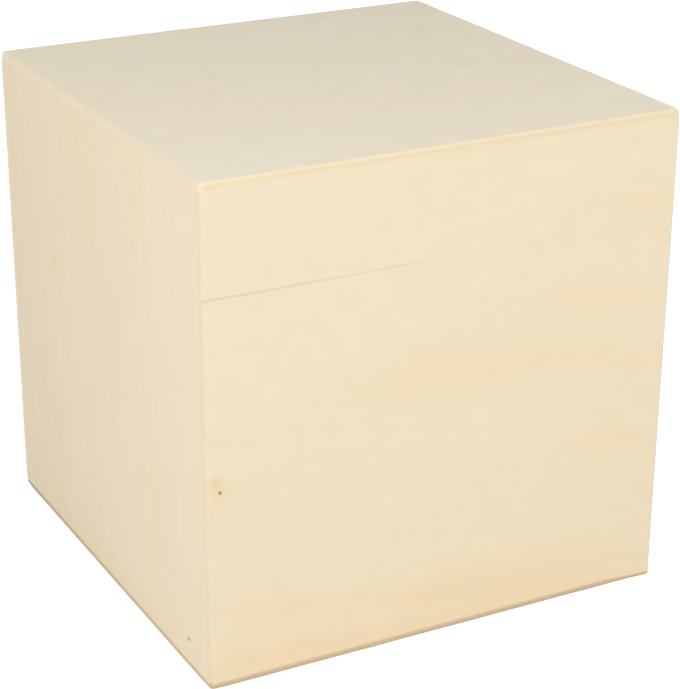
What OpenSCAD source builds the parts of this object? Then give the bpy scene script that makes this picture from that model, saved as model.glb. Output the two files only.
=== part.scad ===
// Cube-shaped box of thin plywood boards with a lift-off lid.
// The boards are glued up as a closed cube, sanded outside, and the lid is then sawn off.
// Four strips glued inside the base stand above its rim, and the lid drops over them.
// Millimetres, +Z up, front face towards -Y, origin at the middle of the underside.

/* [Box] */
// Outside width, left to right
box_w = 150; // [80:1:300]
// Outside depth, front to back
box_d = 150; // [80:1:300]
// Height of the base, from its underside to its rim
base_h = 118; // [50:1:260]
// Height of the lid, from its rim to its top
lid_h = 32; // [20:1:100]

/* [Boards] */
// Thickness of the front, back, left and right boards of the base and the lid
wall_t = 2.5; // [2:0.5:6]
// Thickness of the bottom board
bottom_t = 2.5; // [2:0.5:6]
// Thickness of the top board
top_t = 2.5; // [2:0.5:6]

/* [Lip] */
// Thickness of the strips that form the lip
lip_t = 2.5; // [2:0.5:6]
// Depth of the lip that is glued inside the base, below its rim
lip_glued_h = 14; // [6:1:30]
// Height of the lip above the rim of the base
lip_rise = 8; // [4:1:14]
// Gap between the lip and the lid, all round
lip_gap = 0.4; // [0.3:0.1:0.8]
// Bevel on the lip's upper edge, which leads the lid on
lip_lead = 1; // [0.4:0.1:1.4]

/* [Finish] */
// Radius that the outside edges are sanded to
edge_r = 0.8; // [0.4:0.1:1.8]

/* [Hidden] */
$fn = 48;
box_h = base_h + lid_h;
inside_w = box_w - 2 * wall_t;
inside_d = box_d - 2 * wall_t;
lid_board_top = box_h - top_t;
lip_bottom = base_h - lip_glued_h;
lip_top = base_h + lip_rise;
face_colour = [0.91, 0.84, 0.70];
side_colour = [0.88, 0.80, 0.66];
panel_colour = [0.86, 0.81, 0.71];
lip_colour = [0.84, 0.73, 0.55];

// Rectangle centred on the origin, with its corners rounded
module rounded_rect(w, h, r) {
    square([w - 2 * r, h], center = true);
    square([w, h - 2 * r], center = true);
    for (x = [-1, 1], y = [-1, 1])
        translate([x * (w / 2 - r), y * (h / 2 - r)])
            circle(r = r);
}

// A section drawn in width and height, run through from front to back
module run_front_to_back(length) {
    rotate([90, 0, 0])
        linear_extrude(length, center = true)
            children();
}

// A section drawn in depth and height, run through from left to right
module run_left_to_right(length) {
    rotate([90, 0, 90])
        linear_extrude(length, center = true)
            children();
}

// The closed cube, sanded round on its twelve edges
module sanded_cube() {
    intersection() {
        linear_extrude(box_h)
            rounded_rect(box_w, box_d, edge_r);
        run_front_to_back(box_d)
            translate([0, box_h / 2])
                rounded_rect(box_w, box_h, edge_r);
        run_left_to_right(box_w)
            translate([0, box_h / 2])
                rounded_rect(box_d, box_h, edge_r);
    }
}

// Block between two heights, its width and depth given by their limits
module block(x, y, z) {
    translate([x[0], y[0], z[0]])
        cube([x[1] - x[0], y[1] - y[0], z[1] - z[0]]);
}

// Top or bottom board, over the whole width and depth
module level_board(z) {
    intersection() {
        sanded_cube();
        block([-box_w / 2, box_w / 2], [-box_d / 2, box_d / 2], z);
    }
}

// Front board, over the whole width
module front_board(z) {
    intersection() {
        sanded_cube();
        block([-box_w / 2, box_w / 2], [-box_d / 2, -inside_d / 2], z);
    }
}

// Left board, fitted between the front and back boards
module left_board(z) {
    intersection() {
        sanded_cube();
        block([-box_w / 2, -inside_w / 2], [-inside_d / 2, inside_d / 2], z);
    }
}

// Section through the lip from one outside face to the other: flush with the inside of the
// base up to the rim, set back from the lid above it, and bevelled at the top
module lip_section(inside) {
    half = inside / 2;
    right = [
        [half, lip_bottom],
        [half, base_h],
        [half - lip_gap, base_h],
        [half - lip_gap, lip_top - lip_lead],
        [half - lip_gap - lip_lead, lip_top]
    ];
    left = [for (i = [len(right) - 1 : -1 : 0]) [-right[i][0], right[i][1]]];
    polygon(concat(right, left));
}

// Outside form of the four lip strips together
module lip_form() {
    intersection() {
        run_front_to_back(inside_d)
            lip_section(inside_w);
        run_left_to_right(inside_w)
            lip_section(inside_d);
    }
}

// Front lip strip, over the whole inside width
module front_strip() {
    intersection() {
        lip_form();
        block(
            [-inside_w / 2, inside_w / 2],
            [-inside_d / 2, lip_t - inside_d / 2],
            [lip_bottom, lip_top]
        );
    }
}

// Left lip strip, fitted between the front and back strips
module left_strip() {
    intersection() {
        lip_form();
        block(
            [-inside_w / 2, lip_t - inside_w / 2],
            [lip_t - inside_d / 2, inside_d / 2 - lip_t],
            [lip_bottom, lip_top]
        );
    }
}

module bottom_board() {
    color(panel_colour)
        level_board([0, bottom_t]);
}

module base_front_board() {
    color(face_colour)
        front_board([bottom_t, base_h]);
}

module base_back_board() {
    color(face_colour)
        mirror([0, 1, 0])
            front_board([bottom_t, base_h]);
}

module base_left_board() {
    color(side_colour)
        left_board([bottom_t, base_h]);
}

module base_right_board() {
    color(side_colour)
        mirror([1, 0, 0])
            left_board([bottom_t, base_h]);
}

module lip_front_strip() {
    color(lip_colour)
        front_strip();
}

module lip_back_strip() {
    color(lip_colour)
        mirror([0, 1, 0])
            front_strip();
}

module lip_left_strip() {
    color(lip_colour)
        left_strip();
}

module lip_right_strip() {
    color(lip_colour)
        mirror([1, 0, 0])
            left_strip();
}

module top_board() {
    color(panel_colour)
        level_board([lid_board_top, box_h]);
}

module lid_front_board() {
    color(face_colour)
        front_board([base_h, lid_board_top]);
}

module lid_back_board() {
    color(face_colour)
        mirror([0, 1, 0])
            front_board([base_h, lid_board_top]);
}

module lid_left_board() {
    color(side_colour)
        left_board([base_h, lid_board_top]);
}

module lid_right_board() {
    color(side_colour)
        mirror([1, 0, 0])
            left_board([base_h, lid_board_top]);
}

bottom_board();
base_front_board();
base_back_board();
base_left_board();
base_right_board();
lip_front_strip();
lip_back_strip();
lip_left_strip();
lip_right_strip();
top_board();
lid_front_board();
lid_back_board();
lid_left_board();
lid_right_board();
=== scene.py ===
import math

import bpy
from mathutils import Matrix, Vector


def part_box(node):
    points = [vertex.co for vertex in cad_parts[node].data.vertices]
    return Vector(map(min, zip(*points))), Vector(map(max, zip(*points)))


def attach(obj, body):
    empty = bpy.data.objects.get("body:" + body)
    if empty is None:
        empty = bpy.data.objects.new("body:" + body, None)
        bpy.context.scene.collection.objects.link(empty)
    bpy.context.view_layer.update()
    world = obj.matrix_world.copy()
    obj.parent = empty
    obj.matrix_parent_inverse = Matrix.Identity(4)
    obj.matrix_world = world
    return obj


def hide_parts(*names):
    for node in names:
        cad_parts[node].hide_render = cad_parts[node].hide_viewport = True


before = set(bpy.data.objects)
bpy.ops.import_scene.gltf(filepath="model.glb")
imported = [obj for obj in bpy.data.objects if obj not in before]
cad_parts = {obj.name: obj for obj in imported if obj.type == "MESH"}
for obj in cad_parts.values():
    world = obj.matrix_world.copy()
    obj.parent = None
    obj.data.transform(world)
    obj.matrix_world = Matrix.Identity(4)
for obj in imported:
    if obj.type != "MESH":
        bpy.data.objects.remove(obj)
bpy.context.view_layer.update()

# ---------------------------------------------------------------------------
# Sizes and finishes, in metres unless a name says otherwise
# ---------------------------------------------------------------------------

MM = 0.001

# The outside of the closed box is sanded round, more along its top and foot than up its corners
UPRIGHT_RADIUS = 0.5 * MM
LEVEL_RADIUS = 0.85 * MM
# One radius turns into the other between these heights from the top or foot
LEVEL_REACH = (4.0 * MM, 1.5 * MM)
# The radius wanders by this share of itself, over waves of this length
SANDED_WANDER = 0.22
WANDER_WAVE = 9.0 * MM
# Sanding bites deeper at the eight corners
CORNER_BITE = 0.45 * MM
CORNER_REACH = 7.0 * MM
# The right front corner of the foot was missed: the share of the radius that is left there
MISSED_CORNER_SHARE = 0.30
MISSED_CORNER_REACH = 9.0 * MM
# Every other edge is left almost sharp, as the joints were sanded flush
EASED_RADIUS = 0.015 * MM
# Along the saw cut the outer edges are eased too, except on the left: by how much at the left or
# front end of a board, and at its right or back end
SEAM_EASE = {
    "front": (0.10 * MM, 0.03 * MM),
    "back": (0.10 * MM, 0.15 * MM),
    "right": (0.09 * MM, 0.15 * MM),
}
SEAM_REACH = 1.2 * MM
# Painted shade in the saw cut's crevice, a brown line just below the cut: its distance from the cut
# and its half width
SEAM_SHADE_BELOW = 0.28 * MM
SEAM_SHADE_REACH = 0.42 * MM

FACE_VENEER_MM = 0.55
GLUE_LINE_MM = 0.07

# Figures in the face veneer: length along the grain and across it in mm, and the noise's detail
BROAD_FIGURE = (85.0, 20.0, 2.0)
STRIPE_FIGURE = (70.0, 3.4, 3.0)
FIBRE_FIGURE = (11.0, 0.45, 3.0)
MOTTLE_FIGURE = (6.5, 4.5, 4.0)
VESSEL_FIGURE = (2.6, 0.34, 1.0)
# The noise values between which the broad figure and the vessels come in
BROAD_RANGE = (0.36, 0.66)
VESSEL_RANGE = (0.62, 0.76)
# Waves in the grain lines, in mm along and across them, and how far the lines sway in mm
SWAY_WAVE = (95.0, 42.0)
SWAY_MM = 16.0
# How strongly the figures change the colour
STRIPE_WARMTH = 0.55
FIBRE_TONE = 0.034
VESSEL_TONE = -0.011
MOTTLE_TONE = 0.055
# The same for the core's speckle and streaks on the edges, with the speckle's size in mm
SPECKLE_MM = 0.4
SPECKLE_TONE = 0.14
STREAK_TONE = 0.12
# How far sanding goes before the face veneer is cut through, as a share of the edge's radius, how
# ragged that limit is, and how strongly the colour below shows, darkened there as painted shade
ARRIS_CUT = 0.13
ARRIS_RAGGEDNESS = 0.12
ARRIS_STRENGTH = 0.85
# The glue line's strength, and how much of the core's colour the face veneer's own edge takes
GLUE_STRENGTH = 0.06
EDGE_CORE_SHARE = 0.25
# The painted shade that browns the foot is nothing above the first height in mm and full below the
# second
FOOT_SHADE_MM = (2.6, 1.2)
# Knots and streaks: where each fades in, from the first share of its radius to the second
DOT_REACH = (1.35, 0.45)
HALO_REACH = (1.0, 0.1)
STREAK_REACH = (1.2, 0.2)
# The size of their ragged outlines in mm, for a streak along and across it, and how ragged it is
KNOT_RAGGED_MM = 1.6
STREAK_RAGGED_MM = (22.0, 5.0)
STREAK_RAGGEDNESS = 1.3
# Roughness of the veneer, what its fibre adds, and what a cut edge adds
ROUGHNESS = 0.54
FIBRE_ROUGHNESS = 0.16
EDGE_ROUGHNESS = 0.14
# Heights of the relief, in shares of its depth
FIBRE_HEIGHT = 0.7
VESSEL_HEIGHT = -0.5
EDGE_HEIGHT = 1.6
KNOT_HEIGHT = -2.0
RELIEF_DEPTH = 0.03 * MM
RELIEF_STRENGTH = 0.4
# Bare wood has little gloss
SPECULAR_LEVEL = 0.2
DIFFUSE_ROUGHNESS = 0.3

# Where the camera stands and what it aims at, in shares of the box's height
CAMERA_AZIMUTH = math.radians(-27.31)
CAMERA_ELEVATION = math.radians(23.44)
CAMERA_DISTANCE = 4.400
CAMERA_AIM = (-0.0225, -0.017, 0.3575)
CAMERA_LENS_MM = 109.63
CAMERA_SENSOR_MM = 36.0
CAMERA_SHIFT = (0.0312, 0.0515)
CAMERA_CLIP = (0.01, 20.0)

PALE_VENEER = (0.887, 0.776, 0.585)
WARM_VENEER = (0.897, 0.735, 0.500)
# Painted light: the top board's colours are greyer than the sides', standing for the sheen and cool
# sky light that the top catches
TOP_PALE_VENEER_WITH_SHEEN = (0.802, 0.724, 0.574)
TOP_WARM_VENEER_WITH_SHEEN = (0.816, 0.706, 0.521)
# The core is cross-laid: amber where it is cut across its grain, pale where it is cut along it
CORE_END_GRAIN = (0.868, 0.728, 0.497)
CORE_LONG_GRAIN = (0.900, 0.780, 0.578)
# On the sanded outside edges the core's colour is darkened as painted shade, to hold down the
# highlight that the rounded edges catch; on the top board's end it is darker still
SANDED_AND_SHADED_ARRIS = (0.782, 0.674, 0.487)
TOP_ARRIS = (0.840, 0.730, 0.540)
TOP_END_ARRIS = (0.785, 0.680, 0.500)
# The foot: the core's own browner amber, then darker browns that are painted shade under the rounded
# foot
FOOT_CORE = (0.912, 0.735, 0.487)
FOOT_SHADED_ARRIS = (0.676, 0.520, 0.338)
FOOT_SHADED_END_ARRIS = (0.668, 0.548, 0.370)
# On the sides the foot's painted shade is darker towards the back, where less light reaches: where
# this starts and how dark it gets
FOOT_DARKENING_MM = 30.0
FOOT_DARKENING = 0.80
# The painted shade of the foot thins out towards the missed corner, from this far away and by this
# factor
FOOT_THINNING_MM = 20.0
FOOT_THINNING = 1.7
GLUE_BROWN = (0.620, 0.450, 0.260)
# Painted shade in the saw cut
SEAM_SHADE_BROWN = (0.620, 0.470, 0.290)
KNOT_BROWN = (0.235, 0.140, 0.020)
KNOT_HALO = (0.855, 0.640, 0.280)

LAMP_COLOUR = (1.032, 1.0, 0.948)
WORLD_COLOUR = (0.955, 1.0, 1.056)
WORLD_STRENGTH = 0.545
WHITE = (1.0, 1.0, 1.0)
# Name, azimuth and elevation in degrees, distance and size in metres, and power in watts
SOFTBOXES = [
    ("Left softbox", -65, 20, 0.8, 0.5, 2.29),
    ("Front softbox", 5, 35, 1.0, 0.5, 3.45),
    ("Back softbox", 135, 1, 1.2, 0.15, 4.2),
]
FLOOR_DARK = (0.58, 0.58, 0.58)
FLOOR_LIGHT = (0.62, 0.62, 0.62)
FLOOR_GRIT_PER_METRE = 60.0
# What the floor gives out for the camera alone, on top of what it reflects
FLOOR_LIFT = 0.69
FLOOR_HALF_SIZE = 3.0
FLOOR_DROP = 0.02 * MM


# ---------------------------------------------------------------------------
# Node trees
# ---------------------------------------------------------------------------

def fill_inputs(tree, node, inputs):
    """Sets a node's inputs, by name or number, to values or links them to other nodes' sockets."""
    for key, value in inputs.items():
        socket = node.inputs[key]
        if isinstance(value, bpy.types.NodeSocket):
            tree.links.new(value, socket)
        else:
            socket.default_value = value


def add_node(tree, kind, inputs=None, **settings):
    """A node with its settings and inputs."""
    node = tree.nodes.new(kind)
    for name, value in settings.items():
        setattr(node, name, value)
    fill_inputs(tree, node, inputs or {})
    return node


def maths(tree, operation, *values, clamp=False):
    """A Math node's result."""
    inputs = dict(enumerate(values))
    node = add_node(tree, "ShaderNodeMath", inputs, operation=operation, use_clamp=clamp)
    return node.outputs[0]


def vector_maths(tree, operation, *values, output=0):
    """A Vector Math node's result."""
    node = add_node(tree, "ShaderNodeVectorMath", dict(enumerate(values)), operation=operation)
    return node.outputs[output]


def scaled(tree, vector, factor):
    """A vector or colour times a number."""
    node = add_node(tree, "ShaderNodeVectorMath", {0: vector, "Scale": factor}, operation="SCALE")
    return node.outputs[0]


def ramp(tree, value, start, end, low=0.0, high=1.0):
    """The value's place between start and end, eased at both, from low to high."""
    inputs = {"Value": value, "From Min": start, "From Max": end, "To Min": low, "To Max": high}
    node = add_node(tree, "ShaderNodeMapRange", inputs, interpolation_type="SMOOTHSTEP")
    return node.outputs[0]


def noise(tree, vector, scale=1.0, detail=2.0):
    """Fractal noise between 0 and 1, with its middle at one half."""
    inputs = {"Vector": vector, "Scale": scale, "Detail": detail}
    return add_node(tree, "ShaderNodeTexNoise", inputs).outputs["Fac"]


def blend(tree, factor, first, second):
    """A mix of two colours, all the first at factor 0 and all the second at factor 1."""
    node = add_node(tree, "ShaderNodeMix", data_type="RGBA")
    fill_inputs(tree, node, {0: factor, 6: first, 7: second})
    return node.outputs[2]


def swing(tree, fac, amount, middle, clamp=False):
    """The middle value, moved up or down by a noise's swing round one half."""
    return maths(tree, "MULTIPLY_ADD", maths(tree, "SUBTRACT", fac, 0.5), amount, middle, clamp=clamp)


def between(tree, factor, start, end):
    """From start at factor 0 to end at factor 1, in a straight line."""
    return maths(tree, "MULTIPLY_ADD", factor, maths(tree, "SUBTRACT", end, start), start)


def rgba(colour):
    """An opaque colour."""
    return (*colour, 1.0)


def new_group(name, kind, inputs, outputs):
    """A node group with its sockets: inputs and outputs map a name to a socket type and default."""
    tree = bpy.data.node_groups.new(name, kind)
    for direction, sockets in (("INPUT", inputs), ("OUTPUT", outputs)):
        for label, (socket_type, default) in sockets.items():
            socket = tree.interface.new_socket(label, in_out=direction, socket_type=socket_type)
            if default is not None:
                socket.default_value = default
    entry = tree.nodes.new("NodeGroupInput")
    leave = tree.nodes.new("NodeGroupOutput")
    return tree, entry.outputs, leave.inputs


# ---------------------------------------------------------------------------
# A board: a block whose outside edges are sanded with the whole box
# ---------------------------------------------------------------------------

FLOAT, VECTOR, INTEGER = "NodeSocketFloat", "NodeSocketVector", "NodeSocketInt"
MATERIAL, GEOMETRY = "NodeSocketMaterial", "NodeSocketGeometry"
COLOUR = "NodeSocketColor"


def rounded_inside(tree, point, low, high, radius):
    """Pulls a point inside a block onto that block's rounded edges and corners."""
    margin = add_node(tree, "ShaderNodeCombineXYZ", {"X": radius, "Y": radius, "Z": radius}).outputs[0]
    core_low = vector_maths(tree, "ADD", low, margin)
    core_high = vector_maths(tree, "SUBTRACT", high, margin)
    core = vector_maths(tree, "MINIMUM", vector_maths(tree, "MAXIMUM", point, core_low), core_high)
    arm = vector_maths(tree, "SUBTRACT", point, core)
    length = vector_maths(tree, "LENGTH", arm, output=1)
    longest = maths(tree, "MINIMUM", length, radius)
    direction = vector_maths(tree, "NORMALIZE", arm)
    return vector_maths(tree, "ADD", core, scaled(tree, direction, longest))


def board_tree():
    """Geometry nodes for a board between two corners, in a box whose outside edges are sanded."""
    tree, given, result = new_group(
        "Sanded board", "GeometryNodeTree",
        {
            "Board Low": (VECTOR, None), "Board High": (VECTOR, None),
            "Box Low": (VECTOR, None), "Box High": (VECTOR, None),
            "Cells X": (INTEGER, 60), "Cells Y": (INTEGER, 60), "Cells Z": (INTEGER, 60),
            "Upright Radius": (FLOAT, UPRIGHT_RADIUS), "Level Radius": (FLOAT, LEVEL_RADIUS),
            "Corner Bite": (FLOAT, CORNER_BITE), "Wander": (FLOAT, SANDED_WANDER),
            "Missed Corner": (VECTOR, None),
            "Eased Radius": (FLOAT, EASED_RADIUS),
            "Side Board": (FLOAT, 0.0), "Seam Height": (FLOAT, 0.0),
            "Seam Ease Start": (FLOAT, 0.0), "Seam Ease End": (FLOAT, 0.0),
            "Seed": (FLOAT, 0.0), "Material": (MATERIAL, None),
        },
        {"Geometry": (GEOMETRY, None)},
    )
    cube = add_node(tree, "GeometryNodeMeshCube", {
        "Size": (2.0, 2.0, 2.0), "Vertices X": given["Cells X"],
        "Vertices Y": given["Cells Y"], "Vertices Z": given["Cells Z"],
    })
    # Vertices crowd towards the block's edges by a cubic law
    place = tree.nodes.new("GeometryNodeInputPosition").outputs[0]
    size = vector_maths(tree, "ABSOLUTE", place)
    from_edge = vector_maths(tree, "SUBTRACT", (1.0, 1.0, 1.0), size)
    squared = vector_maths(tree, "MULTIPLY", from_edge, from_edge)
    cubed = vector_maths(tree, "MULTIPLY", squared, from_edge)
    crowded = vector_maths(tree, "SUBTRACT", (1.0, 1.0, 1.0), cubed)
    signed = vector_maths(tree, "MULTIPLY", crowded, vector_maths(tree, "SIGN", place))
    half = scaled(tree, vector_maths(tree, "SUBTRACT", given["Board High"], given["Board Low"]), 0.5)
    middle = scaled(tree, vector_maths(tree, "ADD", given["Board High"], given["Board Low"]), 0.5)
    point = vector_maths(tree, "MULTIPLY_ADD", signed, half, middle)

    # How far the point is from the outside faces of the box
    parts = add_node(tree, "ShaderNodeSeparateXYZ", {0: point}).outputs
    from_low = vector_maths(tree, "SUBTRACT", point, given["Box Low"])
    from_low = add_node(tree, "ShaderNodeSeparateXYZ", {0: from_low}).outputs
    from_high = vector_maths(tree, "SUBTRACT", given["Box High"], point)
    from_high = add_node(tree, "ShaderNodeSeparateXYZ", {0: from_high}).outputs
    from_nearest = {name: maths(tree, "MINIMUM", from_low[name], from_high[name]) for name in "XYZ"}

    # Eased edges, more where the saw cut meets the board's outside face
    def by_side(for_front_or_back, for_side):
        return between(tree, given["Side Board"], for_front_or_back, for_side)

    width, depth = (maths(tree, "ADD", from_low[name], from_high[name]) for name in "XY")
    nearness = ramp(tree, by_side(from_low["X"], from_low["Y"]), by_side(width, depth), 0.0)
    nearness = maths(tree, "MULTIPLY", nearness, nearness)
    seam_ease = between(tree, nearness, given["Seam Ease End"], given["Seam Ease Start"])
    from_seam = maths(tree, "ABSOLUTE", maths(tree, "SUBTRACT", parts["Z"], given["Seam Height"]))
    near_seam = maths(tree, "LESS_THAN", from_seam, SEAM_REACH)
    from_outside = by_side(from_nearest["Y"], from_nearest["X"])
    near_outside = ramp(tree, from_outside, SEAM_REACH, 0.5 * SEAM_REACH)
    near_seam = maths(tree, "MULTIPLY", near_seam, near_outside)
    ease = between(tree, near_seam, given["Eased Radius"], seam_ease)
    seeded = add_node(tree, "ShaderNodeCombineXYZ", dict.fromkeys("XYZ", given["Seed"])).outputs[0]
    wander_at = vector_maths(tree, "ADD", scaled(tree, point, 1.0 / WANDER_WAVE), seeded)
    # The noise stays mostly within a quarter of its middle
    wander = maths(tree, "MULTIPLY", swing(tree, noise(tree, wander_at, detail=3.0), 1.0, 0.0), 4.0)
    wander = maths(tree, "MULTIPLY_ADD", wander, given["Wander"], 1.0)
    ease = maths(tree, "MULTIPLY", ease, wander)
    eased = rounded_inside(tree, point, given["Board Low"], given["Board High"], ease)

    # Sanded outside edges, whose radius wanders along the edge and grows at the corners
    levelness = ramp(tree, from_nearest["Z"], *LEVEL_REACH)
    radius = between(tree, levelness, given["Upright Radius"], given["Level Radius"])
    to_corner = add_node(tree, "ShaderNodeCombineXYZ", from_nearest).outputs[0]
    cornerness = ramp(tree, vector_maths(tree, "LENGTH", to_corner, output=1), CORNER_REACH, 0.0)
    radius = maths(tree, "MULTIPLY_ADD", cornerness, given["Corner Bite"], radius)
    radius = maths(tree, "MULTIPLY", radius, wander)
    from_missed = vector_maths(tree, "DISTANCE", point, given["Missed Corner"], output=1)
    missed = ramp(tree, from_missed, 0.0, MISSED_CORNER_REACH, MISSED_CORNER_SHARE, 1.0)
    radius = maths(tree, "MULTIPLY", radius, missed)
    sanded = rounded_inside(tree, eased, given["Box Low"], given["Box High"], radius)
    cut = vector_maths(tree, "DISTANCE", sanded, point, output=1)
    cut = maths(tree, "DIVIDE", cut, radius)

    kept = add_node(tree, "GeometryNodeStoreNamedAttribute", {
        "Geometry": cube.outputs["Mesh"], "Name": "sanded", "Value": cut,
    }, data_type="FLOAT", domain="POINT")
    moved = add_node(tree, "GeometryNodeSetPosition", {
        "Geometry": kept.outputs[0], "Position": sanded})
    smooth = add_node(tree, "GeometryNodeSetShadeSmooth", {
        "Geometry": moved.outputs[0], "Shade Smooth": True})
    real = add_node(tree, "GeometryNodeRealizeInstances", {"Geometry": smooth.outputs[0]})
    finished = add_node(tree, "GeometryNodeSetMaterial", {
        "Geometry": real.outputs[0], "Material": given["Material"]})
    tree.links.new(finished.outputs[0], result["Geometry"])
    return tree


def apply_tree(name, tree, values):
    """A plain mesh object made by a geometry node tree from named input values."""
    holder = bpy.data.objects.new(name, bpy.data.meshes.new(name + "_start"))
    bpy.context.scene.collection.objects.link(holder)
    modifier = holder.modifiers.new("Shape", "NODES")
    modifier.node_group = tree
    identifiers = {
        item.name: item.identifier for item in tree.interface.items_tree
        if item.item_type == "SOCKET" and item.in_out == "INPUT"
    }
    for label, value in values.items():
        modifier[identifiers[label]] = value
    graph = bpy.context.evaluated_depsgraph_get()
    mesh = bpy.data.meshes.new_from_object(holder.evaluated_get(graph))
    holder.modifiers.clear()
    holder.data = mesh
    mesh.name = name
    return holder


# ---------------------------------------------------------------------------
# Wood: patterns read a board point in millimetres: along the grain, across it, and depth
# ---------------------------------------------------------------------------

def stretched(tree, point, along_mm, across_mm, depth_mm=1.0):
    """The board point with its features drawn out to the given lengths."""
    return vector_maths(tree, "MULTIPLY", point, (1.0 / along_mm, 1.0 / across_mm, 1.0 / depth_mm))


def plywood_tree():
    """Face veneer with soft grain, and the glue lines and cross-laid core that show on the edges."""
    tree, given, result = new_group(
        "Pale plywood", "ShaderNodeTree",
        {
            "Board Point": (VECTOR, None), "Sheet": (VECTOR, None), "Seed": (FLOAT, 0.0),
            "Grain Slope": (FLOAT, 0.0),
            "Pale": (COLOUR, rgba(PALE_VENEER)), "Warm": (COLOUR, rgba(WARM_VENEER)),
            "Core End": (COLOUR, rgba(CORE_END_GRAIN)), "Core Long": (COLOUR, rgba(CORE_LONG_GRAIN)),
            "Edge Veneer": (COLOUR, rgba(PALE_VENEER)),
            "Arris": (COLOUR, rgba(SANDED_AND_SHADED_ARRIS)), "End Arris": (COLOUR, rgba(SANDED_AND_SHADED_ARRIS)),
            "Warmth": (FLOAT, 0.5), "Drift": (VECTOR, None), "Heartwood": (FLOAT, 0.0),
            "Mottle": (FLOAT, MOTTLE_TONE), "Painted Light Drift": (VECTOR, None),
            "Arris Cut": (FLOAT, ARRIS_CUT), "Foot Shade": (FLOAT, 0.0),
        },
        {"Colour": (COLOUR, None), "Roughness": (FLOAT, None), "Height": (FLOAT, None)},
    )
    parts = add_node(tree, "ShaderNodeSeparateXYZ", {0: given["Board Point"]}).outputs
    beyond = vector_maths(tree, "SUBTRACT", given["Sheet"], given["Board Point"])
    far_parts = add_node(tree, "ShaderNodeSeparateXYZ", {0: beyond}).outputs
    far_y = add_node(tree, "ShaderNodeSeparateXYZ", {0: given["Sheet"]}).outputs["Y"]
    flat = vector_maths(tree, "MULTIPLY", given["Board Point"], (1.0, 1.0, 0.0))
    flat = add_node(tree, "ShaderNodeVectorRotate", {
        "Vector": flat, "Center": scaled(tree, given["Sheet"], 0.5), "Angle": given["Grain Slope"],
    }, rotation_type="Z_AXIS").outputs[0]
    shift = add_node(tree, "ShaderNodeCombineXYZ", {"Z": given["Seed"]}).outputs[0]

    # Grain lines sway a little as they run
    sway_at = vector_maths(tree, "ADD", stretched(tree, flat, *SWAY_WAVE), shift)
    sway = swing(tree, noise(tree, sway_at), SWAY_MM, 0.0)
    sideways = add_node(tree, "ShaderNodeCombineXYZ", {"Y": sway}).outputs[0]
    swayed = vector_maths(tree, "ADD", flat, sideways)

    def figure(sizes, offset):
        along_mm, across_mm, detail = sizes
        at = vector_maths(tree, "ADD", stretched(tree, swayed, along_mm, across_mm), shift)
        at = vector_maths(tree, "ADD", at, (offset, offset, 0.0))
        return noise(tree, at, detail=detail)

    broad = ramp(tree, figure(BROAD_FIGURE, 3.1), *BROAD_RANGE)
    stripe = figure(STRIPE_FIGURE, 7.7)
    fibre = figure(FIBRE_FIGURE, 1.9)
    mottle = figure(MOTTLE_FIGURE, 5.3)
    vessel = ramp(tree, figure(VESSEL_FIGURE, 9.2), *VESSEL_RANGE)

    # Heartwood lies towards one side of the sheet
    drift = vector_maths(tree, "DOT_PRODUCT", flat, given["Drift"], output=1)
    warm = maths(tree, "MULTIPLY_ADD", broad, given["Warmth"], drift)
    warm = maths(tree, "ADD", warm, given["Heartwood"])
    warm = swing(tree, stripe, STRIPE_WARMTH, warm, clamp=True)
    veneer = blend(tree, warm, given["Pale"], given["Warm"])
    tone = swing(tree, fibre, FIBRE_TONE, 1.0)
    tone = swing(tree, mottle, given["Mottle"], tone)
    tone = maths(tree, "MULTIPLY_ADD", vessel, VESSEL_TONE, tone)
    # Painted light and shade: the tone drifts across the sheet as the light falls off across the face
    from_middle = vector_maths(tree, "SUBTRACT", flat, scaled(tree, given["Sheet"], 0.5))
    painted_light_drift = vector_maths(tree, "DOT_PRODUCT", from_middle, given["Painted Light Drift"], output=1)
    veneer = scaled(tree, veneer, maths(tree, "ADD", tone, painted_light_drift))

    # Edges: speckled core between glue lines, and the face veneers' own edges
    speckle = noise(tree, scaled(tree, given["Board Point"], 1.0 / SPECKLE_MM), detail=3.0)
    streak_at = vector_maths(tree, "ADD", stretched(tree, given["Board Point"], 6.0, 6.0, 0.5), shift)
    streak = noise(tree, streak_at)
    core_tone = swing(tree, streak, STREAK_TONE, swing(tree, speckle, SPECKLE_TONE, 1.0))
    from_end = maths(tree, "MINIMUM", parts["X"], far_parts["X"])
    from_side = maths(tree, "MINIMUM", parts["Y"], far_parts["Y"])
    at_end = ramp(tree, maths(tree, "SUBTRACT", from_side, from_end), -0.4, 0.4)
    core = scaled(tree, blend(tree, at_end, given["Core End"], given["Core Long"]), core_tone)
    nearer = maths(tree, "MINIMUM", parts["Z"], far_parts["Z"])
    on_edge = ramp(tree, nearer, 0.02, 0.10)
    veneer_edge = blend(tree, EDGE_CORE_SHARE, given["Edge Veneer"], core)
    inside = ramp(tree, nearer, FACE_VENEER_MM - 0.03, FACE_VENEER_MM + 0.03)
    from_glue = maths(tree, "ABSOLUTE", maths(tree, "SUBTRACT", nearer, FACE_VENEER_MM))
    glue = ramp(tree, from_glue, GLUE_LINE_MM, 0.0, 0.0, GLUE_STRENGTH)
    colour = blend(tree, on_edge, veneer, veneer_edge)
    colour = blend(tree, inside, colour, core)
    colour = blend(tree, glue, colour, rgba(GLUE_BROWN))

    # Sanding has cut through the face veneer along the outside edges, and the colour below is darkened
    # there as painted shade against the highlight on the rounded edges
    sanded = add_node(tree, "ShaderNodeAttribute", attribute_name="sanded").outputs["Fac"]
    arris = swing(tree, streak, ARRIS_RAGGEDNESS, sanded)
    arris = ramp(tree, arris, 0.0, given["Arris Cut"], 0.0, ARRIS_STRENGTH)
    across_grain = maths(tree, "MULTIPLY", at_end, ramp(tree, parts["Z"], 0.7, 0.2))
    arris_colour = blend(tree, across_grain, given["Arris"], given["End Arris"])
    colour = blend(tree, arris, colour, scaled(tree, arris_colour, core_tone))
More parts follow.
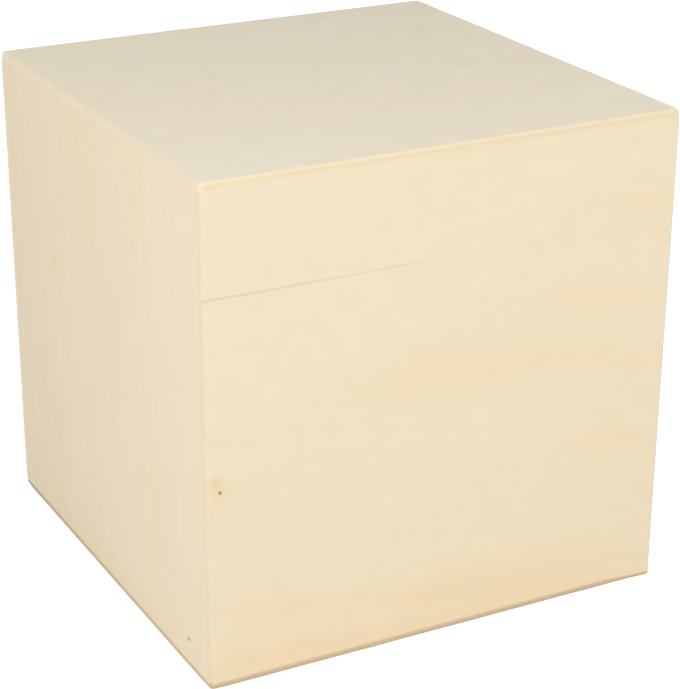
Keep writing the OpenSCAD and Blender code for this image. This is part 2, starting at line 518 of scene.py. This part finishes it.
    # Painted shade: the foot turns brown towards the surface that the box stands on, where the
    # underside of its rounded edge gets little light
    along_foot = maths(tree, "ADD", far_parts["X"], parts["Y"])
    thinning = ramp(tree, along_foot, FOOT_THINNING_MM, 0.0, 1.0, FOOT_THINNING)
    foot_shade_amount = ramp(tree, maths(tree, "MULTIPLY", parts["Z"], thinning), *FOOT_SHADE_MM)
    foot_shade_amount = maths(tree, "MULTIPLY", foot_shade_amount, given["Foot Shade"])
    # Painted shade: on the sides the foot's brown darkens towards the back
    darkening = ramp(tree, parts["Y"], FOOT_DARKENING_MM, far_y, 1.0, FOOT_DARKENING)
    side_foot_shade = scaled(tree, given["End Arris"], darkening)
    colour = blend(tree, foot_shade_amount, colour, blend(tree, at_end, given["Arris"], side_foot_shade))

    tree.links.new(colour, result["Colour"])
    rough = maths(tree, "MULTIPLY_ADD", fibre, FIBRE_ROUGHNESS, ROUGHNESS)
    rough = maths(tree, "MULTIPLY_ADD", inside, EDGE_ROUGHNESS, rough)
    tree.links.new(rough, result["Roughness"])
    vessel_height = maths(tree, "MULTIPLY", vessel, VESSEL_HEIGHT)
    height = maths(tree, "MULTIPLY_ADD", fibre, FIBRE_HEIGHT, vessel_height)
    end_height = maths(tree, "MULTIPLY", speckle, EDGE_HEIGHT)
    height = add_node(tree, "ShaderNodeMix", {0: inside, 2: height, 3: end_height}).outputs[0]
    tree.links.new(height, result["Height"])
    return tree


def pin_knot_tree():
    """A pin knot: a dark dot with a ragged amber halo round it."""
    tree, given, result = new_group(
        "Pin knot", "ShaderNodeTree",
        {
            "Board Point": (VECTOR, None), "Colour": (COLOUR, None), "Centre": (VECTOR, None),
            "Dot Radius": (FLOAT, 0.4), "Dot Strength": (FLOAT, 0.8),
            "Halo Radius": (FLOAT, 4.0), "Halo Strength": (FLOAT, 0.3),
            "Width": (FLOAT, 1.0), "Tilt": (FLOAT, 0.0),
        },
        {"Colour": (COLOUR, None), "Dot": (FLOAT, None)},
    )
    away = vector_maths(tree, "SUBTRACT", given["Board Point"], given["Centre"])
    away = add_node(tree, "ShaderNodeVectorRotate", {
        "Vector": away, "Angle": given["Tilt"]}, rotation_type="Z_AXIS").outputs[0]
    ragged = noise(tree, scaled(tree, away, 1.0 / KNOT_RAGGED_MM), detail=3.0)
    stretch = maths(tree, "MULTIPLY_ADD", ragged, 0.8, 0.6)
    narrowing = add_node(tree, "ShaderNodeCombineXYZ", {
        "X": 1.0, "Y": maths(tree, "DIVIDE", 1.0, given["Width"]), "Z": 1.0}).outputs[0]
    narrowed = vector_maths(tree, "MULTIPLY", away, narrowing)
    distance = vector_maths(tree, "LENGTH", narrowed, output=1)
    halo_size = maths(tree, "MULTIPLY", given["Halo Radius"], stretch)
    halo = ramp(tree, maths(tree, "DIVIDE", distance, halo_size), *HALO_REACH)
    dot = ramp(tree, maths(tree, "DIVIDE", distance, given["Dot Radius"]), *DOT_REACH)
    halo = maths(tree, "MULTIPLY", halo, given["Halo Strength"])
    colour = blend(tree, halo, given["Colour"], rgba(KNOT_HALO))
    colour = blend(tree, maths(tree, "MULTIPLY", dot, given["Dot Strength"]), colour, rgba(KNOT_BROWN))
    tree.links.new(colour, result["Colour"])
    tree.links.new(dot, result["Dot"])
    return tree


def warm_streak_tree():
    """A warm streak of heartwood: how much of it lies at a point of the board."""
    tree, given, result = new_group(
        "Warm streak", "ShaderNodeTree",
        {
            "Board Point": (VECTOR, None), "Centre": (VECTOR, None), "Slope": (FLOAT, 0.0),
            "Half Length": (FLOAT, 20.0), "Half Width": (FLOAT, 5.0), "Strength": (FLOAT, 0.5),
        },
        {"Amount": (FLOAT, None)},
    )
    away = vector_maths(tree, "SUBTRACT", given["Board Point"], given["Centre"])
    away = add_node(tree, "ShaderNodeVectorRotate", {
        "Vector": away, "Angle": given["Slope"]}, rotation_type="Z_AXIS").outputs[0]
    parts = add_node(tree, "ShaderNodeSeparateXYZ", {0: away}).outputs
    seeded = vector_maths(tree, "ADD", stretched(tree, away, *STREAK_RAGGED_MM), given["Centre"])
    along = maths(tree, "DIVIDE", parts["X"], given["Half Length"])
    across = maths(tree, "DIVIDE", parts["Y"], given["Half Width"])
    across_squared = maths(tree, "MULTIPLY", across, across)
    reach = maths(tree, "SQRT", maths(tree, "MULTIPLY_ADD", along, along, across_squared))
    reach = swing(tree, noise(tree, seeded, detail=4.0), STREAK_RAGGEDNESS, reach)
    amount = maths(tree, "MULTIPLY", ramp(tree, reach, *STREAK_REACH), given["Strength"])
    tree.links.new(amount, result["Amount"])
    return tree


def board_point(tree, axes, outer_corner, signs):
    """The object's own coordinates as millimetres along, across and into a board."""
    seen = add_node(tree, "ShaderNodeTexCoord").outputs["Object"]
    local = vector_maths(tree, "SUBTRACT", seen, tuple(outer_corner))
    local = vector_maths(tree, "MULTIPLY", local, tuple(sign / MM for sign in signs))
    parts = add_node(tree, "ShaderNodeSeparateXYZ", {0: local}).outputs
    swapped = {name: parts[axis] for name, axis in zip("XYZ", axes)}
    return add_node(tree, "ShaderNodeCombineXYZ", swapped).outputs[0]


def use_group(tree, group, inputs):
    """A node group's outputs, with its inputs set to values or linked to sockets."""
    node = tree.nodes.new("ShaderNodeGroup")
    node.node_tree = group
    fill_inputs(tree, node, inputs)
    return node.outputs


def seam_shade(tree, colour, strength):
    """The colour with a faint brown line of painted shade just below the saw cut, strongest at its
    left end.
    """
    seen = add_node(tree, "ShaderNodeTexCoord").outputs["Object"]
    parts = add_node(tree, "ShaderNodeSeparateXYZ", {0: seen}).outputs
    away = maths(tree, "ABSOLUTE", maths(tree, "SUBTRACT", parts["Z"], rim_height - SEAM_SHADE_BELOW))
    amount = ramp(tree, away, SEAM_SHADE_REACH, 0.1 * SEAM_SHADE_REACH, 0.0, strength)
    leftness = ramp(tree, parts["X"], right_x, left_x)
    amount = maths(tree, "MULTIPLY", amount, maths(tree, "MULTIPLY", leftness, leftness))
    on_front = ramp(tree, parts["Y"], front_y + 0.35 * MM, front_y + 0.05 * MM)
    return blend(tree, maths(tree, "MULTIPLY", amount, on_front), colour, rgba(SEAM_SHADE_BROWN))


def plywood_material(
        name, axes, corner, signs, sheet, seed, slope=0.0, warmth=0.5, drift=(0, 0, 0),
        painted_light_drift=(0, 0, 0), streaks=(), knots=(), knot_width=1.0, knot_tilt=0.0,
        mottle=MOTTLE_TONE, arris_cut=ARRIS_CUT, foot_shade=0.0, seam_shade_strength=0.0, **colours):
    """Plywood for the boards cut from one sheet, with sizes in mm and angles in degrees.

    The axes, the outer corner and the signs turn the box's coordinates into the board point.
    The colours are inputs of the plywood group, with _ for a space.
    A streak is (along, across, half length, half width, strength).
    A knot is (along, across, dot radius, dot strength, halo radius, halo strength).
    """
    material = bpy.data.materials.new(name)
    material.use_nodes = True
    tree = material.node_tree
    tree.nodes.clear()
    point = board_point(tree, axes, corner, signs)
    slope = math.radians(slope)
    heartwood = 0.0
    for along, across, half_length, half_width, strength in streaks:
        amount = use_group(tree, WARM_STREAK, {
            "Board Point": point, "Centre": (along, across, 0.0), "Slope": slope,
            "Half Length": half_length, "Half Width": half_width, "Strength": strength,
        })["Amount"]
        heartwood = maths(tree, "ADD", heartwood, amount)
    settings = {
        "Board Point": point, "Sheet": sheet, "Seed": seed, "Grain Slope": slope,
        "Warmth": warmth, "Drift": drift, "Heartwood": heartwood, "Mottle": mottle,
        "Painted Light Drift": painted_light_drift, "Arris Cut": arris_cut, "Foot Shade": foot_shade,
    }
    settings.update({label.replace("_", " "): rgba(colour) for label, colour in colours.items()})
    wood = use_group(tree, PLYWOOD, settings)
    colour, height = wood["Colour"], wood["Height"]
    for along, across, dot, dot_strength, halo, halo_strength in knots:
        knot = use_group(tree, PIN_KNOT, {
            "Board Point": point, "Colour": colour, "Centre": (along, across, 0.0),
            "Dot Radius": dot, "Dot Strength": dot_strength,
            "Halo Radius": halo, "Halo Strength": halo_strength,
            "Width": knot_width, "Tilt": math.radians(knot_tilt),
        })
        colour = knot["Colour"]
        height = maths(tree, "MULTIPLY_ADD", knot["Dot"], KNOT_HEIGHT, height)
    # Painted shade along the saw cut
    if seam_shade_strength:
        colour = seam_shade(tree, colour, seam_shade_strength)
    bump = add_node(tree, "ShaderNodeBump", {
        "Strength": RELIEF_STRENGTH, "Distance": RELIEF_DEPTH, "Height": height})
    shader = add_node(tree, "ShaderNodeBsdfPrincipled", {
        "Base Color": colour, "Roughness": wood["Roughness"], "Normal": bump.outputs[0],
        "Specular IOR Level": SPECULAR_LEVEL, "Diffuse Roughness": DIFFUSE_ROUGHNESS,
    })
    output = add_node(tree, "ShaderNodeOutputMaterial", {"Surface": shader.outputs[0]})
    output.is_active_output = True
    return material


PLYWOOD = plywood_tree()
PIN_KNOT = pin_knot_tree()
WARM_STREAK = warm_streak_tree()
BOARD = board_tree()


# ---------------------------------------------------------------------------
# The boards
# ---------------------------------------------------------------------------

base_low, base_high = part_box("bottom_board")
lid_low, lid_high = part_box("top_board")
base_low, base_high, lid_low, lid_high = map(Vector, (base_low, base_high, lid_low, lid_high))
rim_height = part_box("base_front_board")[1][2]
front_low, front_high = map(Vector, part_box("base_front_board"))
bottom_thickness = base_high.z - base_low.z
top_thickness = lid_high.z - lid_low.z
wall_thickness = front_high.y - front_low.y
box_height = lid_high.z - base_low.z
left_x, right_x, front_y, back_y = base_low.x, base_high.x, base_low.y, base_high.y
width_mm = (right_x - left_x) / MM
depth_mm = (back_y - front_y) / MM
height_mm = box_height / MM
wall_mm = wall_thickness / MM

X, Y, Z = "X", "Y", "Z"
FRONT_PLY = plywood_material(
    "Front plywood", (X, Z, Y), (left_x, front_y, 0.0), (1, 1, 1),
    (width_mm, height_mm, wall_mm), 2.3, slope=7.0, warmth=0.22, drift=(0.0010, -0.0012, 0.0),
    # Painted light drift, lighter to the right and darker higher up, and painted shade along the saw
    # cut
    painted_light_drift=(0.00013, -0.00008, 0.0), seam_shade_strength=0.38,
    streaks=(
        (92.0, 81.0, 84.0, 8.5, 0.40),
        (128.0, 97.0, 26.0, 6.0, 0.45),
        (133.0, 50.0, 14.0, 6.0, 0.40),
        (104.0, 9.0, 62.0, 14.0, 0.70),
        (21.0, 22.0, 16.0, 6.0, 0.45),
        (140.0, 125.0, 20.0, 10.0, 0.25),
        (24.0, 3.0, 46.0, 9.0, 0.55),
        (32.0, 12.0, 62.0, 24.0, 0.28),
        (70.0, 2.0, 36.0, 4.0, 0.40),
        (128.0, 1.5, 30.0, 4.0, 0.35),
    ),
    knots=(
        (4.15, 61.5, 0.53, 0.86, 6.0, 0.36),
        (2.6, 64.8, 0.9, 0.07, 2.8, 0.40),
        (119.2, 19.1, 0.60, 0.08, 1.5, 0.10),
        (21.1, 143.5, 0.50, 0.06, 1.8, 0.10),
    ))
BACK_PLY = plywood_material(
    "Back plywood", (X, Z, Y), (left_x, back_y, 0.0), (1, 1, -1),
    (width_mm, height_mm, wall_mm), 17.9, slope=-3.0, warmth=0.45,
    streaks=(
        (52.0, 96.0, 48.0, 9.0, 0.5),
        (112.0, 40.0, 40.0, 10.0, 0.55),
        (30.0, 18.0, 34.0, 7.0, 0.4),
    ),
    knots=(
        (101.0, 88.0, 0.4, 0.45, 3.5, 0.25),
        (38.0, 27.0, 0.3, 0.35, 1.8, 0.15),
    ))
LEFT_PLY = plywood_material(
    "Left plywood", (Z, Y, X), (left_x, front_y, 0.0), (1, 1, 1),
    (height_mm, depth_mm, wall_mm), 31.4, slope=2.0, warmth=0.24, drift=(0.0, 0.0011, 0.0),
    # Painted light drift: darker towards the back
    painted_light_drift=(0.00004, -0.00028, 0.0), knot_width=2.0, knot_tilt=-21.0,
    # A warm band along the foot makes the lowest few millimetres of the side warmer and darker
    streaks=((0.0, 75.0, 9.0, 90.0, 0.52),),
    knots=(
        (9.45, 14.5, 0.75, 0.33, 1.7, 0.20),
        (25.5, 27.5, 0.4, 0.08, 1.0, 0.08),
        (92.5, 111.0, 1.6, 0.03, 5.0, 0.14),
    ))
RIGHT_PLY = plywood_material(
    "Right plywood", (Z, Y, X), (right_x, front_y, 0.0), (-1, 1, 1),
    (height_mm, depth_mm, wall_mm), 44.2, slope=-3.0, warmth=0.35,
    streaks=(
        (70.0, 98.0, 60.0, 7.0, 0.4),
        (40.0, 40.0, 46.0, 8.0, 0.35),
    ),
    knots=((96.0, 112.0, 0.4, 0.40, 2.6, 0.2),))
TOP_PLY = plywood_material(
    "Top plywood", (X, Y, Z), (lid_low.x, lid_low.y, lid_high.z), (1, 1, -1),
    (width_mm, depth_mm, top_thickness / MM), 58.6, slope=3.0, warmth=0.27, mottle=0.10,
    # Painted light drift: darker towards the back and the right
    drift=(0.0, 0.0016, 0.0), painted_light_drift=(-0.0001, -0.00030, 0.0), arris_cut=0.20,
    streaks=(
        (6.0, 96.0, 22.0, 26.0, 0.35),
        (38.0, 84.0, 14.0, 12.0, 0.25),
        (70.0, 4.0, 60.0, 6.0, 0.30),
    ),
    knots=((76.0, 97.0, 0.4, 0.10, 1.4, 0.08),),
    # The top's greyer colours are painted sheen and cool light
    Pale=TOP_PALE_VENEER_WITH_SHEEN, Warm=TOP_WARM_VENEER_WITH_SHEEN, Arris=TOP_ARRIS, End_Arris=TOP_END_ARRIS)
BOTTOM_PLY = plywood_material(
    "Bottom plywood", (X, Y, Z), (left_x, front_y, base_low.z), (1, 1, 1),
    (width_mm, depth_mm, bottom_thickness / MM), 71.5, slope=-2.0, warmth=0.5,
    streaks=(
        (60.0, 100.0, 50.0, 9.0, 0.4),
        (100.0, 46.0, 50.0, 12.0, 0.5),
    ),
    # The core's own browner amber, and the dark browns of painted shade along the foot
    Core_End=FOOT_CORE, Core_Long=FOOT_CORE, Edge_Veneer=FOOT_CORE,
    Arris=FOOT_SHADED_ARRIS, End_Arris=FOOT_SHADED_END_ARRIS, foot_shade=1.0)


def make_board(node, material, cells, seed):
    """Replaces one plain board by a sanded and eased one."""
    low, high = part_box(node)
    side = node.split("_")[1]
    start_ease, end_ease = SEAM_EASE.get(side, (EASED_RADIUS, EASED_RADIUS))
    piece = apply_tree(node.replace("board", "ply"), BOARD, {
        "Board Low": tuple(low), "Board High": tuple(high),
        "Box Low": tuple(base_low), "Box High": tuple(lid_high),
        "Missed Corner": (right_x, front_y, base_low.z),
        "Cells X": cells[0], "Cells Y": cells[1], "Cells Z": cells[2],
        "Side Board": float(side in ("left", "right")), "Seam Height": rim_height,
        "Seam Ease Start": start_ease, "Seam Ease End": end_ease,
        "Seed": seed, "Material": material,
    })
    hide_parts(node)
    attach(piece, "root")


# Vertices along a board's length or width, and through its thickness
LONG, THIN = 64, 16
# Each board's node, material, material slot, and vertices along X, Y and Z
BOARDS = [
    ("bottom_board", BOTTOM_PLY, "panel_plywood", (LONG, LONG, THIN)),
    ("base_front_board", FRONT_PLY, "front_plywood", (LONG, THIN, LONG)),
    ("base_back_board", BACK_PLY, "front_plywood", (LONG, THIN, LONG)),
    ("base_left_board", LEFT_PLY, "side_plywood", (THIN, LONG, LONG)),
    ("base_right_board", RIGHT_PLY, "side_plywood", (THIN, LONG, LONG)),
    ("top_board", TOP_PLY, "panel_plywood", (LONG, LONG, THIN)),
    ("lid_front_board", FRONT_PLY, "front_plywood", (LONG, THIN, LONG)),
    ("lid_back_board", BACK_PLY, "front_plywood", (LONG, THIN, LONG)),
    ("lid_left_board", LEFT_PLY, "side_plywood", (THIN, LONG, LONG)),
    ("lid_right_board", RIGHT_PLY, "side_plywood", (THIN, LONG, LONG)),
]
# Each board's wandering radius starts this far on from the last board's
SEED_STEP = 3.7
for index, (node, material, slot, cells) in enumerate(BOARDS):
    make_board(node, material, cells, float(index) * SEED_STEP)

inside_corner = (left_x + wall_thickness, front_y + wall_thickness, 0.0)
# The lip is cut from solid wood, so its sheet is taken to be far thicker than the strips
SOLID_MM = 900.0
LIP_LEVEL = plywood_material(
    "Lip wood, front and back", (X, Z, Y), inside_corner, (1, 1, 1),
    (width_mm, height_mm, SOLID_MM), 83.1, warmth=0.9)
LIP_SIDES = plywood_material(
    "Lip wood, sides", (Y, Z, X), inside_corner, (1, 1, 1),
    (depth_mm, height_mm, SOLID_MM), 92.7, warmth=0.9)
for node, material in (
    ("lip_front_strip", LIP_LEVEL), ("lip_back_strip", LIP_LEVEL),
    ("lip_left_strip", LIP_SIDES), ("lip_right_strip", LIP_SIDES),
):
    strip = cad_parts[node]
    for material_slot in strip.material_slots:
        material_slot.material = material


# ---------------------------------------------------------------------------
# Floor, light and camera
# ---------------------------------------------------------------------------

def seen_directly(tree):
    """1 for what the camera sees, also through gloss and glass, and 0 for light on the box."""
    light_path = add_node(tree, "ShaderNodeLightPath").outputs
    seen = maths(tree, "MAXIMUM", light_path["Is Camera Ray"], light_path["Is Glossy Ray"])
    return maths(tree, "MAXIMUM", seen, light_path["Is Transmission Ray"])


def pale_stage(size):
    """A pale floor that shows white to the camera and keeps the box's shadow."""
    mesh = bpy.data.meshes.new("Floor")
    corners = [(x * size, y * size, -FLOOR_DROP) for x, y in ((-1, -1), (1, -1), (1, 1), (-1, 1))]
    mesh.from_pydata(corners, [], [(0, 1, 2, 3)])
    floor = bpy.data.objects.new("Floor", mesh)
    bpy.context.scene.collection.objects.link(floor)
    material = bpy.data.materials.new("Pale floor")
    material.use_nodes = True
    tree = material.node_tree
    tree.nodes.clear()
    seen = add_node(tree, "ShaderNodeTexCoord").outputs["Object"]
    grit = noise(tree, seen, scale=FLOOR_GRIT_PER_METRE, detail=3.0)
    paper = blend(tree, grit, rgba(FLOOR_DARK), rgba(FLOOR_LIGHT))
    diffuse = add_node(tree, "ShaderNodeBsdfDiffuse", {"Color": paper})
    strength = maths(tree, "MULTIPLY", seen_directly(tree), FLOOR_LIFT)
    lift = add_node(tree, "ShaderNodeEmission", {"Color": rgba(WHITE), "Strength": strength})
    both = add_node(tree, "ShaderNodeAddShader", {0: diffuse.outputs[0], 1: lift.outputs[0]})
    add_node(tree, "ShaderNodeOutputMaterial", {"Surface": both.outputs[0]})
    mesh.materials.append(material)


def soft_world():
    """An even fill light all round, which shows white to the camera."""
    world = bpy.data.worlds.new("Studio")
    bpy.context.scene.world = world
    world.use_nodes = True
    tree = world.node_tree
    tree.nodes.clear()
    fill = add_node(tree, "ShaderNodeBackground", {
        "Color": rgba(WORLD_COLOUR), "Strength": WORLD_STRENGTH})
    white = add_node(tree, "ShaderNodeBackground", {"Color": rgba(WHITE), "Strength": 1.0})
    mix = add_node(tree, "ShaderNodeMixShader", {
        0: seen_directly(tree), 1: fill.outputs[0], 2: white.outputs[0]})
    add_node(tree, "ShaderNodeOutputWorld", {"Surface": mix.outputs[0]})


def direction(azimuth, elevation):
    """The unit vector towards an azimuth, 0 in front and positive to the right, and an elevation."""
    return Vector((
        math.sin(azimuth) * math.cos(elevation),
        -math.cos(azimuth) * math.cos(elevation),
        math.sin(elevation)))


def softbox(name, azimuth, elevation, distance, size, power):
    """A square soft light that faces the box's middle from the given direction, in degrees."""
    back = direction(math.radians(azimuth), math.radians(elevation))
    light = bpy.data.lights.new(name, "AREA")
    light.shape = "SQUARE"
    light.size = size
    light.energy = power
    light.color = LAMP_COLOUR
    lamp = bpy.data.objects.new(name, light)
    lamp.location = Vector((0.0, 0.0, box_height / 2)) + back * distance
    lamp.rotation_euler = back.to_track_quat("Z", "Y").to_euler()
    lamp.visible_camera = False
    bpy.context.scene.collection.objects.link(lamp)


def place_camera():
    """The camera, which looks at the box from above, in front and to the left."""
    camera = bpy.data.cameras.new("Camera")
    camera.lens = CAMERA_LENS_MM
    camera.sensor_width = CAMERA_SENSOR_MM
    camera.shift_x, camera.shift_y = CAMERA_SHIFT
    camera.clip_start, camera.clip_end = CAMERA_CLIP
    eye = bpy.data.objects.new("Camera", camera)
    back = direction(CAMERA_AZIMUTH, CAMERA_ELEVATION)
    eye.location = (Vector(CAMERA_AIM) + back * CAMERA_DISTANCE) * box_height
    eye.rotation_euler = back.to_track_quat("Z", "Y").to_euler()
    bpy.context.scene.collection.objects.link(eye)
    bpy.context.scene.camera = eye


pale_stage(FLOOR_HALF_SIZE)
soft_world()
for settings in SOFTBOXES:
    softbox(*settings)
place_camera()
bpy.context.scene.view_settings.view_transform = "Standard"
